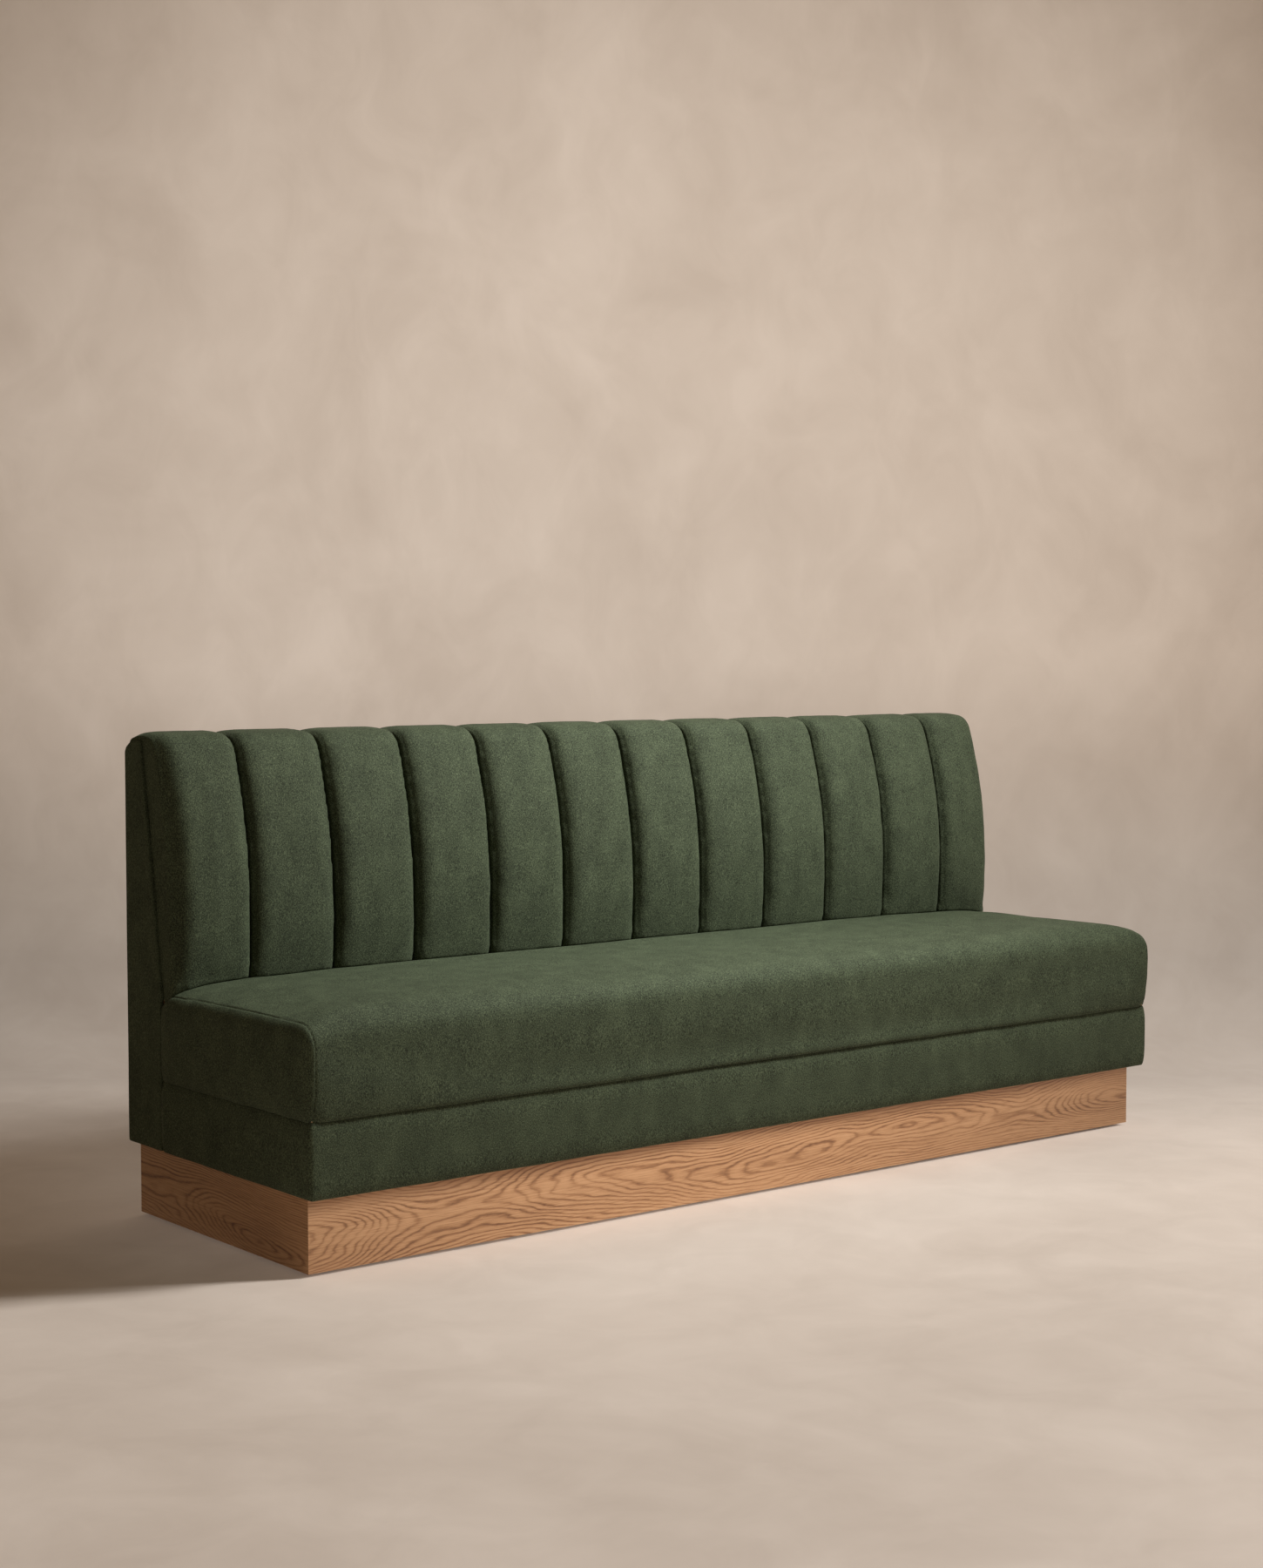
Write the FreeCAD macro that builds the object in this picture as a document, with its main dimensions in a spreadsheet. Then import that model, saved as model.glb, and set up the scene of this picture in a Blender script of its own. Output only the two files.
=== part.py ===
"""Upholstered banquette bench: a padded seat and a channelled back on a wooden plinth.

The bench runs along X, its front looks along -Y and +Z is up. The origin is on the floor
in the middle of the bench. Every length is in millimetres.
"""

import FreeCAD, Part
import os
import re
import Sketcher

# Driving dimensions

SIZES = {
    # Whole bench
    "bench_length": 2134,
    "bench_depth": 655,
    "bench_height": 900,
    "cover_pad": 8,
    "soft_gap": 0.2,
    "cut_overrun": 5,
    # Plinth
    "floor_gap": 6,
    "plinth_height": 132,
    "plinth_end_setback": 19,
    "plinth_front_setback": 39.5,
    "plinth_rear_setback": 12.5,
    "plinth_board": 18,
    "rib_board": 18,
    "rib_place": 350,
    # Levelling feet
    "foot_block_side": 56,
    "foot_pad_radius": 20,
    "foot_pad_height": 6,
    "foot_pad_rim": 2.5,
    "foot_pad_hub_radius": 9,
    "foot_pad_floor": 2,
    "foot_gap": 0.3,
    "stem_radius": 5,
    "stem_length": 44,
    "stem_bore_radius": 6,
    "stem_slot_width": 2,
    "stem_slot_depth": 3,
    "collar_radius": 8,
    "collar_height": 5,
    "thread_gap": 0.05,
    "insert_radius": 7.5,
    "insert_length": 17,
    "insert_flange_radius": 11,
    "insert_flange": 1.5,
    # Seat frame
    "apron_height": 129,
    "rail_board": 25,
    "rail_height": 180,
    "base_board": 12,
    "cross_rail_board": 18,
    "cross_rail_height": 90,
    "cross_rail_place": 300,
    "screw_radius": 2.4,
    "screw_length": 50,
    "screw_head_radius": 5,
    "screw_head": 3,
    "screw_gap": 0.1,
    "rib_screw_place": 110,
    # Springs
    "wire_radius": 1.9,
    "spring_width": 50,
    "spring_side_inset": 120,
    "clip_thickness": 1.2,
    "clip_width": 24,
    "clip_depth": 16,
    "spring_pad": 3,
    "spring_pad_inset": 8,
    # Seat cushion
    "seat_height": 450,
    "seat_bulge": 10,
    "seat_end_roll": 180,
    "end_panel_bulge": 15.5,
    "foam_top_inset": 24,
    "foam_side_inset": 30,
    "foam_front_inset": 22,
    "foam_rear_inset": 28,
    # Back frame
    "side_bottom_depth": 128.5,
    "side_top_depth": 57.5,
    "knee_drop": 20,
    "upright_board": 45,
    "upright_place": 350,
    "top_rail": 25,
    "back_board": 9,
    "rear_panel": 5,
    "bolt_radius": 4,
    "bolt_length": 70,
    "bolt_gap": 0.1,
    "bolt_head_radius": 7,
    "bolt_head": 6,
    "bolt_side_inset": 10,
    "bolt_low_place": 42,
    "bolt_high_place": 147,
    "barrel_nut_radius": 6,
    "barrel_nut_length": 20,
    "barrel_nut_place": 30,
    # Back padding
    "back_pad_reach": 194.5,
    "end_channel_width": 164.5,
    "pad_edge_round": 3,
}

# Counts
CHANNELS = 12
SPRINGS = 12
SPRING_BARS = 23
COLLAR_SIDES = 6

# Outline of a slice through the seat cushion, as shares of its depth from the apron's face
# and of its height above the apron, first at the crown and then at the end seam
SEAT_CROWN_SHARES = (
    (0.0, 0.0), (-0.0194, 0.40), (-0.0155, 0.705), (0.0107, 0.907), (0.0805, 0.984),
    (0.46, 1.0), (0.917, 0.984), (0.976, 0.915), (1.0, 0.754), (1.0, 0.0),
)
SEAT_SEAM_SHARES = (
    (0.0, 0.0), (-0.0136, 0.372), (-0.0155, 0.65), (0.0087, 0.83), (0.067, 0.896),
    (0.46, 0.885), (0.926, 0.863), (0.978, 0.81), (1.0, 0.672), (1.0, 0.0),
)
# Where the seat's slices stand, as shares of its end roll, and how far each has sunk there
SEAT_STATION_SHARES = (0.0, 0.07, 0.22, 0.5, 1.0, 1.5)
SEAT_SINK_SHARES = (1.0, 0.62, 0.27, 0.07, 0.0, 0.0)
# End panel of the seat: shares of its bulge, and how much of the outline is left there
END_PANEL_STATION_SHARES = (0.0, 0.45, 0.8, 1.0)
END_PANEL_OUTLINE_SHARES = (1.0, 0.99, 0.94, 0.78)
# Outline of a slice through the back padding, as shares of its reach forward of the rear face
# and of its height above the seat: at a channel's crest, on the frame and at the bench's end
CREST_SHARES = (
    (0.928, 0.0), (1.0, 0.279), (0.727, 0.916), (0.650, 0.969), (0.470, 0.9967),
    (0.337, 1.0), (0.183, 0.9967), (0.054, 0.976), (0.0, 0.92),
)
FRAME_SHARES = (
    (0.676, 0.0), (0.532, 0.4235), (0.352, 0.880), (0.333, 0.905), (0.285, 0.9202),
    (0.218, 0.9224), (0.131, 0.9202), (0.039, 0.912), (0.0, 0.896),
)
END_SHARES = (
    (0.676, 0.0), (0.532, 0.4235), (0.345, 0.905), (0.325, 0.932), (0.275, 0.952),
    (0.210, 0.960), (0.125, 0.955), (0.035, 0.935), (0.0, 0.905),
)
# Where a channel's slices stand, as shares of half its width, and how far each has sunk
# from the crest, towards the frame beside a groove and towards the end slice at the end
GROOVE_STATION_SHARES = (0.55, 0.8, 0.92, 1.0)
GROOVE_SINK_SHARES = (0.006, 0.06, 0.17, 0.42)
END_STATION_SHARES = (0.5, 0.78, 0.93, 1.0)
END_SINK_SHARES = (0.02, 0.1, 0.29, 1.0)
# Top edge of a side panel, from the rear: shares of its depth there and of the back's rise
SIDE_TOP_SHARES = ((0.0, 0.92), (0.12, 0.94), (0.34, 0.957), (0.66, 0.964))
# How far up the back's rise the side panels and the frame come
SIDE_RISE_SHARE = 0.964
FRAME_RISE_SHARE = 0.869

# Places worked out from the driving dimensions
PLACES = {
    "rear_y": "bench_depth / 2",
    "apron_face_y": "seat_bulge - bench_depth / 2",
    "rail_face_y": "apron_face_y + cover_pad",
    "half_length": "bench_length / 2",
    "half_frame": "half_length - cover_pad",
    "plinth_rear_y": "rear_y - plinth_rear_setback",
    "plinth_front_y": "apron_face_y + plinth_front_setback",
    "plinth_depth": "plinth_rear_y - plinth_front_y",
    "plinth_top": "floor_gap + plinth_height",
    "half_plinth": "half_length - plinth_end_setback",
    "foot_block_bottom": "foot_pad_height + collar_height + foot_gap + insert_flange",
    "foot_side_x": "half_plinth - plinth_board - foot_block_side / 2",
    "foot_front_y": "plinth_front_y + plinth_board + foot_block_side / 2",
    "foot_rear_y": "plinth_rear_y - plinth_board - foot_block_side / 2",
    "base_top": "plinth_top + base_board",
    "seam_height": "plinth_top + apron_height",
    "rail_top": "plinth_top + rail_height",
    "side_face_y": "rear_y - side_bottom_depth",
    "rear_rail_y": "side_face_y - rail_board",
    "wire_height": "rail_top + clip_thickness + wire_radius",
    "spring_pad_bottom": "wire_height + wire_radius + soft_gap",
    "foam_bottom": "spring_pad_bottom + spring_pad",
    "foam_height": "seat_height - foam_top_inset - foam_bottom",
    "front_clip_y": "rail_face_y + rail_board / 2",
    "rear_clip_y": "side_face_y - rail_board / 2",
    "seat_depth": "side_face_y - apron_face_y - soft_gap",
    "seat_rise": "seat_height - seam_height",
    "back_rise": "bench_height - seat_height",
    "knee_height": "seat_height - knee_drop",
    "side_top_height": f"seat_height + {SIDE_RISE_SHARE} * back_rise",
    "frame_top": f"seat_height + {FRAME_RISE_SHARE} * back_rise",
    "slope": "(side_bottom_depth - side_top_depth) / (side_top_height - knee_height)",
    "top_rail_bottom": "frame_top - top_rail",
    "panel_face_y": "rear_y - rear_panel",
    "channel_width": f"(bench_length - 2 * end_channel_width) / {CHANNELS - 2}",
}

doc = FreeCAD.newDocument("banquette_bench")
sheet = doc.addObject("Spreadsheet::Sheet", "sizes")
for row, (alias, size) in enumerate(SIZES.items(), start=1):
    sheet.set(f"A{row}", alias)
    sheet.set(f"B{row}", str(size))
    sheet.setAlias(f"B{row}", alias)
doc.recompute()

subparts = []


def bound(text):
    """Turn a sum in the names above into an expression on the sheet's cells."""
    def expand(match):
        name = match.group(0)
        if name in PLACES:
            return "(" + bound(PLACES[name]) + ")"
        return "sizes." + name
    return re.sub(r"[a-z][a-z_]*", expand, text)


def mm(text):
    """The present value of a sum in the names above."""
    return float(sheet.evalExpression(bound(text)))


def frame_face_y(height):
    """Front of the back frame's slanted face at a height, as a sum."""
    return f"(side_face_y + (({height}) - knee_height) * slope)"


def keep(piece):
    """Note a finished sub-part."""
    subparts.append(piece)
    return piece


def place(piece, corner):
    """Bind a piece's place to three sums."""
    for axis, text in zip("xyz", corner):
        piece.setExpression(f"Placement.Base.{axis}", bound(text))
    return piece


# Makers of hard pieces


def board(label, corner, span):
    """A square-edged board."""
    piece = doc.addObject("Part::Box", label)
    for side, text in zip(("Length", "Width", "Height"), span):
        piece.setExpression(side, bound(text))
    return place(piece, corner)


def outlined(label, plane, outline):
    """A body with a closed outline of straight lines on one of its own origin planes."""
    body = doc.addObject("PartDesign::Body", label)
    sketch = body.newObject("Sketcher::SketchObject", label + "_outline")
    support = next(item for item in body.Origin.OriginFeatures if item.Role == plane)
    sketch.AttachmentSupport = (support, [""])
    sketch.MapMode = "FlatFace"
    corners = [FreeCAD.Vector(mm(across), mm(along), 0) for across, along in outline]
    count = len(corners)
    for index, corner in enumerate(corners):
        sketch.addGeometry(Part.LineSegment(corner, corners[(index + 1) % count]), False)
    for index in range(count):
        sketch.addConstraint(Sketcher.Constraint("Coincident", index, 2, (index + 1) % count, 1))
    for index, (across, along) in enumerate(outline):
        for kind, text in (("DistanceX", across), ("DistanceY", along)):
            number = sketch.addConstraint(Sketcher.Constraint(kind, -1, 1, index, 1, mm(text)))
            sketch.setExpression(f"Constraints[{number}]", bound(text))
    return body, sketch


def profiled(label, plane, outline, thickness, corner=("0", "0", "0")):
    """A board cut to an outline."""
    body, sketch = outlined(label, plane, outline)
    pad = body.newObject("PartDesign::Pad", label + "_thickness")
    pad.Profile = sketch
    pad.setExpression("Length", bound(thickness))
    return place(body, corner)


def turned(label, outline, corner):
    """A piece turned about its own upright axis."""
    body, sketch = outlined(label, "XZ_Plane", outline)
    turn = body.newObject("PartDesign::Revolution", label + "_turn")
    turn.Profile = sketch
    turn.ReferenceAxis = (sketch, ["V_Axis"])
    turn.Angle = 360
    return place(body, corner)


def rounded(body, radius, axis, side):
    """Round the edges of a profiled body's lowest (-1) or highest (1) face along an axis."""
    doc.recompute()
    base = body.Tip
    low, high = axis + "Min", axis + "Max"
    whole = base.Shape.BoundBox
    face = getattr(whole, low if side < 0 else high)
    names = []
    for number, edge in enumerate(base.Shape.Edges, start=1):
        box = edge.BoundBox
        if max(abs(getattr(box, low) - face), abs(getattr(box, high) - face)) < mm("soft_gap"):
            names.append(f"Edge{number}")
    fillet = body.newObject("PartDesign::Fillet", body.Label + "_round")
    fillet.Base = (base, names)
    fillet.setExpression("Radius", bound(radius))
    return body


UP = FreeCAD.Vector(0, 0, 1)
BACK = FreeCAD.Vector(0, 1, 0)
RIGHT = FreeCAD.Vector(1, 0, 0)


def rod(label, direction, start, radius, length):
    """A plain round rod, also used as a drill."""
    piece = doc.addObject("Part::Cylinder", label)
    piece.setExpression("Radius", bound(radius))
    piece.setExpression("Height", bound(length))
    piece.Placement = FreeCAD.Placement(FreeCAD.Vector(), FreeCAD.Rotation(UP, direction))
    return place(piece, start)


def joined(label, pieces):
    """Several primitives as one solid."""
    whole = doc.addObject("Part::MultiFuse", label)
    whole.Shapes = pieces
    return whole


def cut(label, piece, tools):
    """A piece less its drillings."""
    result = doc.addObject("Part::Cut", label)
    result.Base = piece
    result.Tool = tools[0] if len(tools) == 1 else joined(label + "_drillings", tools)
    return result


def shaped(label, shape):
    """A piece whose shape is worked out here from the sheet's sizes."""
    piece = doc.addObject("Part::Feature", label)
    piece.Shape = shape
    return keep(piece)


def group(label, solids):
    """Like fasteners as one group of separate solids."""
    return shaped(label, Part.makeCompound(solids))


def point(across, along, height):
    """A point from three sums."""
    return FreeCAD.Vector(mm(across), mm(along), mm(height))


# Plinth: four veneered boards, mitred at the corners, with two ribs across

plinth_inner = "(half_plinth - plinth_board)"
keep(profiled("plinth_front", "XY_Plane", (
    ("-half_plinth", "plinth_front_y"),
    ("half_plinth", "plinth_front_y"),
    (plinth_inner, "plinth_front_y + plinth_board"),
    ("-" + plinth_inner, "plinth_front_y + plinth_board"),
), "plinth_height", ("0", "0", "floor_gap")))
keep(profiled("plinth_rear", "XY_Plane", (
    ("-half_plinth", "plinth_rear_y"),
    ("-" + plinth_inner, "plinth_rear_y - plinth_board"),
    (plinth_inner, "plinth_rear_y - plinth_board"),
    ("half_plinth", "plinth_rear_y"),
), "plinth_height", ("0", "0", "floor_gap")))
for name, sign in (("plinth_left", "-"), ("plinth_right", "")):
    keep(profiled(name, "XY_Plane", (
        (sign + "half_plinth", "plinth_front_y"),
        (sign + "half_plinth", "plinth_rear_y"),
        (sign + plinth_inner, "plinth_rear_y - plinth_board"),
        (sign + plinth_inner, "plinth_front_y + plinth_board"),
    ), "plinth_height", ("0", "0", "floor_gap")))
for number, side in ((1, "-"), (2, "")):
    rib = board(f"plinth_rib_{number}_blank",
                (f"{side}rib_place - rib_board / 2", "plinth_front_y + plinth_board", "floor_gap"),
                ("rib_board", "plinth_depth - 2 * plinth_board", "plinth_height"))
    holes = [rod(f"rib_{number}_hole_{place_sign}", UP,
                 (f"{side}rib_place", f"{sign}rib_screw_place", "base_top - screw_length - screw_gap"),
                 "screw_radius + screw_gap", "screw_length")
             for place_sign, sign in (("front", "-"), ("rear", ""))]
    keep(cut(f"plinth_rib_{number}", rib, holes))

# Levelling feet: a turned pad, a threaded stem with a collar, and an insert in a glued block

FOOT_PLACES = [(across, along) for along in ("foot_front_y", "foot_rear_y")
               for across in ("-foot_side_x", "0", "foot_side_x")]
BLOCK_SCREW_PLACES = FOOT_PLACES[:3]
RIB_SCREW_PLACES = [(f"{side}rib_place", f"{end}rib_screw_place") for side in ("-", "")
                    for end in ("-", "")]
SCREW_PLACES = BLOCK_SCREW_PLACES + RIB_SCREW_PLACES


def screw(across, along):
    """A wood screw driven down through the seat's base board."""
    shank = Part.makeCylinder(mm("screw_radius"), mm("screw_length"),
                              point(across, along, "base_top - screw_length"))
    head = Part.makeCylinder(mm("screw_head_radius"), mm("screw_head"),
                             point(across, along, "base_top"))
    return shank.fuse(head).removeSplitter()


def foot_block(across, along):
    """A glue block in the plinth, bored for a threaded insert and for the stem above it."""
    corner = point(f"{across} - foot_block_side / 2", f"{along} - foot_block_side / 2",
                   "foot_block_bottom")
    block = Part.makeBox(mm("foot_block_side"), mm("foot_block_side"),
                         mm("plinth_top - foot_block_bottom"), corner)
    centre = point(across, along, "foot_block_bottom")
    seat = Part.makeCylinder(mm("insert_radius + thread_gap"), mm("insert_length"), centre)
    bore = Part.makeCylinder(mm("stem_bore_radius"), mm("stem_length"), centre)
    block = block.cut(seat).cut(bore)
    for place_x, place_y in BLOCK_SCREW_PLACES:
        pilot = Part.makeCylinder(mm("screw_radius + screw_gap"), mm("screw_length"),
                                  point(place_x, place_y, "base_top - screw_length - screw_gap"))
        block = block.cut(pilot)
    return block


def insert(across, along):
    """A flanged threaded insert."""
    under = point(across, along, "foot_block_bottom - insert_flange")
    flange = Part.makeCylinder(mm("insert_flange_radius"), mm("insert_flange"), under)
    sleeve = Part.makeCylinder(mm("insert_radius"), mm("insert_length + insert_flange"), under)
    bore = Part.makeCylinder(mm("stem_radius + thread_gap"),
                             mm("insert_length + insert_flange"), under)
    return flange.fuse(sleeve).cut(bore).removeSplitter()


group("plinth_foot_blocks", [foot_block(across, along) for across, along in FOOT_PLACES])
group("foot_inserts", [insert(across, along) for across, along in FOOT_PLACES])
for number, (across, along) in enumerate(FOOT_PLACES, start=1):
    keep(turned(f"foot_{number}_pad", (
        ("0", "0"),
        ("foot_pad_radius", "0"),
        ("foot_pad_radius", "foot_pad_rim"),
        ("foot_pad_hub_radius", "foot_pad_height"),
        ("stem_radius + thread_gap", "foot_pad_height"),
        ("stem_radius + thread_gap", "foot_pad_floor"),
        ("0", "foot_pad_floor"),
    ), (across, along, "0")))
    shank = rod(f"foot_{number}_shank", UP, ("0", "0", "foot_pad_floor"),
                "stem_radius", "stem_length")
    collar = doc.addObject("Part::Prism", f"foot_{number}_collar")
    collar.Polygon = COLLAR_SIDES
    collar.setExpression("Circumradius", bound("collar_radius"))
    collar.setExpression("Height", bound("collar_height"))
    place(collar, ("0", "0", "foot_pad_height"))
    slot = board(f"foot_{number}_slot",
                 ("-stem_radius - cut_overrun", "-stem_slot_width / 2",
                  "foot_pad_floor + stem_length - stem_slot_depth"),
                 ("2 * stem_radius + 2 * cut_overrun", "stem_slot_width",
                  "stem_slot_depth + cut_overrun"))
    stem = cut(f"foot_{number}_stem", joined(f"foot_{number}_screw", [shank, collar]), [slot])
    keep(place(stem, (across, along, "0")))

# Seat frame: a base board with rails round it and two cross rails, screwed to the plinth

base_blank = board("seat_base_blank",
                   ("rail_board - half_frame", "rail_face_y + rail_board", "plinth_top"),
                   ("2 * half_frame - 2 * rail_board",
                    "rear_rail_y - rail_face_y - rail_board", "base_board"))
base_holes = [rod(f"base_hole_{number}", UP, (across, along, "plinth_top - cut_overrun"),
                  "screw_radius + screw_gap", "base_board + 2 * cut_overrun")
              for number, (across, along) in enumerate(SCREW_PLACES, start=1)]
keep(cut("seat_base_board", base_blank, base_holes))
group("base_screws", [screw(across, along) for across, along in SCREW_PLACES])
keep(board("seat_rail_front", ("-half_frame", "rail_face_y", "plinth_top"),
           ("2 * half_frame", "rail_board", "rail_height")))
for name, corner in (("seat_rail_left", "-half_frame"), ("seat_rail_right", "half_frame - rail_board")):
    keep(board(name, (corner, "rail_face_y + rail_board", "plinth_top"),
               ("rail_board", "rear_rail_y - rail_face_y - rail_board", "rail_height")))
for number, side in ((1, "-"), (2, "")):
    keep(board(f"seat_cross_rail_{number}",
               (f"{side}cross_rail_place - cross_rail_board / 2", "rail_face_y + rail_board",
                "base_top"),
               ("cross_rail_board", "rear_rail_y - rail_face_y - rail_board",
                "cross_rail_height")))

# Back frame: four shaped uprights bolted to the seat's rear rail, a top rail and a front board

upright_edges = (
    ("1", "-half_frame", 1),
    ("2", "-upright_place - upright_board / 2", 1),
    ("3", "upright_place - upright_board / 2", -1),
    ("4", "half_frame - upright_board", -1),
)
bolt_places = []
for number, left, inner in upright_edges:
    if inner > 0:
        bolt_x = f"{left} + upright_board - bolt_side_inset"
        nut_x = f"{left} + upright_board - barrel_nut_length"
    else:
        bolt_x = f"{left} + bolt_side_inset"
        nut_x = left
    blank = profiled(f"upright_{number}_blank", "YZ_Plane", (
        ("side_face_y", "plinth_top"),
        ("panel_face_y", "plinth_top"),
        ("panel_face_y", "top_rail_bottom"),
        (frame_face_y("top_rail_bottom") + " + back_board", "top_rail_bottom"),
        ("side_face_y + back_board", "knee_height"),
        ("side_face_y", "knee_height"),
    ), "upright_board", (left, "0", "0"))
    drills = []
    for level in ("low", "high"):
        bolt_z = f"plinth_top + bolt_{level}_place"
        bolt_places.append((bolt_x, nut_x, bolt_z))
        drills.append(rod(f"upright_{number}_{level}_bolt_hole", BACK,
                          (bolt_x, "side_face_y - cut_overrun", bolt_z),
                          "bolt_radius + bolt_gap", "bolt_length"))
        drills.append(rod(f"upright_{number}_{level}_nut_hole", RIGHT,
                          (nut_x, "side_face_y + barrel_nut_place", bolt_z),
                          "barrel_nut_radius + bolt_gap", "barrel_nut_length"))
    keep(cut(f"back_upright_{number}", blank, drills))

rear_blank = board("seat_rail_rear_blank", ("-half_frame", "rear_rail_y", "plinth_top"),
                   ("2 * half_frame", "rail_board", "rail_height"))
rear_holes = [rod(f"rear_rail_hole_{number}", BACK,
                  (bolt_x, "rear_rail_y - cut_overrun", bolt_z),
                  "bolt_radius + bolt_gap", "rail_board + 2 * cut_overrun")
              for number, (bolt_x, nut_x, bolt_z) in enumerate(bolt_places, start=1)]
keep(cut("seat_rail_rear", rear_blank, rear_holes))

fasteners = []
for bolt_x, nut_x, bolt_z in bolt_places:
    head = Part.makeCylinder(mm("bolt_head_radius"), mm("bolt_head"),
                             point(bolt_x, "rear_rail_y - bolt_head", bolt_z), BACK)
    shank = Part.makeCylinder(mm("bolt_radius"), mm("bolt_length"),
                              point(bolt_x, "rear_rail_y", bolt_z), BACK)
    nut = Part.makeCylinder(mm("barrel_nut_radius"), mm("barrel_nut_length"),
                            point(nut_x, "side_face_y + barrel_nut_place", bolt_z), RIGHT)
    thread = Part.makeCylinder(mm("bolt_radius + thread_gap"), mm("bolt_length + cut_overrun"),
                               point(bolt_x, "rear_rail_y", bolt_z), BACK)
    fasteners.append(head.fuse(shank).removeSplitter())
    fasteners.append(nut.cut(thread))
group("back_bolts_and_nuts", fasteners)

keep(profiled("back_top_rail", "YZ_Plane", (
    (frame_face_y("top_rail_bottom") + " + back_board", "top_rail_bottom"),
    ("panel_face_y", "top_rail_bottom"),
    ("panel_face_y", "frame_top"),
    (frame_face_y("frame_top") + " + back_board", "frame_top"),
), "2 * half_frame", ("-half_frame", "0", "0")))
keep(profiled("back_board", "YZ_Plane", (
    ("side_face_y", "knee_height"),
    ("side_face_y + back_board", "knee_height"),
    (frame_face_y("frame_top") + " + back_board", "frame_top"),
    (frame_face_y("frame_top"), "frame_top"),
), "2 * half_frame", ("-half_frame", "0", "0")))
keep(board("outside_back", ("-half_frame", "panel_face_y", "plinth_top"),
           ("2 * half_frame", "rear_panel", "frame_top - plinth_top")))

# Springs: zigzag wire from rail to rail, held in folded clips, under a felt pad

bar_pitch = mm("rear_clip_y - front_clip_y") / (SPRING_BARS - 1)
bar_reach = mm("spring_width") / 2 - bar_pitch / 2


def spring(middle):
    """One zigzag spring: straight bars joined by half-round bends."""
    height = mm("wire_height")
    edges = []
    for bar in range(SPRING_BARS):
        along = mm("front_clip_y") + bar * bar_pitch
        turn = 1 if bar % 2 == 0 else -1
        start = FreeCAD.Vector(middle - turn * bar_reach, along, height)
        end = FreeCAD.Vector(middle + turn * bar_reach, along, height)
        edges.append(Part.makeLine(start, end))
        if bar < SPRING_BARS - 1:
            crest = end + FreeCAD.Vector(turn * bar_pitch / 2, bar_pitch / 2, 0)
            following = end + FreeCAD.Vector(0, bar_pitch, 0)
            edges.append(Part.Arc(end, crest, following).toShape())
    first = edges[0].Vertexes[0].Point
    ring = Part.Wire(Part.makeCircle(mm("wire_radius"), first, RIGHT))
    return Part.Wire(edges).makePipeShell([ring], True, False)


def clip(middle, along, outward):
    """A folded steel clip: a plate on the rail, a wall beside the wire and a flap over it."""
    width = mm("clip_width")
    depth = mm("clip_depth")
    sheet_metal = mm("clip_thickness")
    rise = 2 * (mm("wire_radius") + mm("soft_gap"))
    left = middle - width / 2
    near = along - depth / 2
    wall_y = along + outward * depth / 2 - (sheet_metal if outward > 0 else 0)
    low = mm("rail_top")
    plate = Part.makeBox(width, depth, sheet_metal, FreeCAD.Vector(left, near, low))
    wall = Part.makeBox(width, sheet_metal, rise + 2 * sheet_metal,
                        FreeCAD.Vector(left, wall_y, low))
    flap = Part.makeBox(width, depth, sheet_metal,
                        FreeCAD.Vector(left, near, low + sheet_metal + rise))
    return plate.fuse([wall, flap]).removeSplitter()


spring_span = mm("2 * half_frame - 2 * spring_side_inset")
spring_places = [spring_span * (number / (SPRINGS - 1) - 1 / 2) for number in range(SPRINGS)]
group("seat_springs", [spring(middle) for middle in spring_places])
group("spring_clips",
      [clip(middle, mm("front_clip_y"), -1) for middle in spring_places]
      + [clip(middle, mm("rear_clip_y"), 1) for middle in spring_places])
keep(board("spring_pad",
           ("rail_board - half_frame", "rail_face_y + rail_board + spring_pad_inset / 2",
            "spring_pad_bottom"),
           ("2 * half_frame - 2 * rail_board",
            "rear_rail_y - rail_face_y - rail_board - spring_pad_inset", "spring_pad")))

# Seat cushion: a foam block under a crowned cover, with a sewn panel at each end


def seat_slice(across, sink, kept_share=1.0):
    """An upright slice through the cushion, sunk from crown to seam and drawn in evenly."""
    middle_y = mm("apron_face_y + seat_depth / 2")
    middle_z = mm("seam_height") + mm("seat_rise") * SEAT_SEAM_SHARES[4][1] / 2
    corners = []
    for crown, seam in zip(SEAT_CROWN_SHARES, SEAT_SEAM_SHARES):
        depth_share = crown[0] + (seam[0] - crown[0]) * sink
        height_share = crown[1] + (seam[1] - crown[1]) * sink
        along = mm("apron_face_y") + mm("seat_depth") * depth_share
        height = mm("seam_height") + mm("seat_rise") * height_share
        corners.append(FreeCAD.Vector(across, middle_y + (along - middle_y) * kept_share,
                                      middle_z + (height - middle_z) * kept_share))
    edges = [Part.Arc(*corners[start:start + 3]).toShape() for start in (0, 2, 4, 6)]
    edges.append(Part.makeLine(corners[8], corners[9]))
    edges.append(Part.makeLine(corners[9], corners[0]))
    return Part.Wire(edges)


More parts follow.
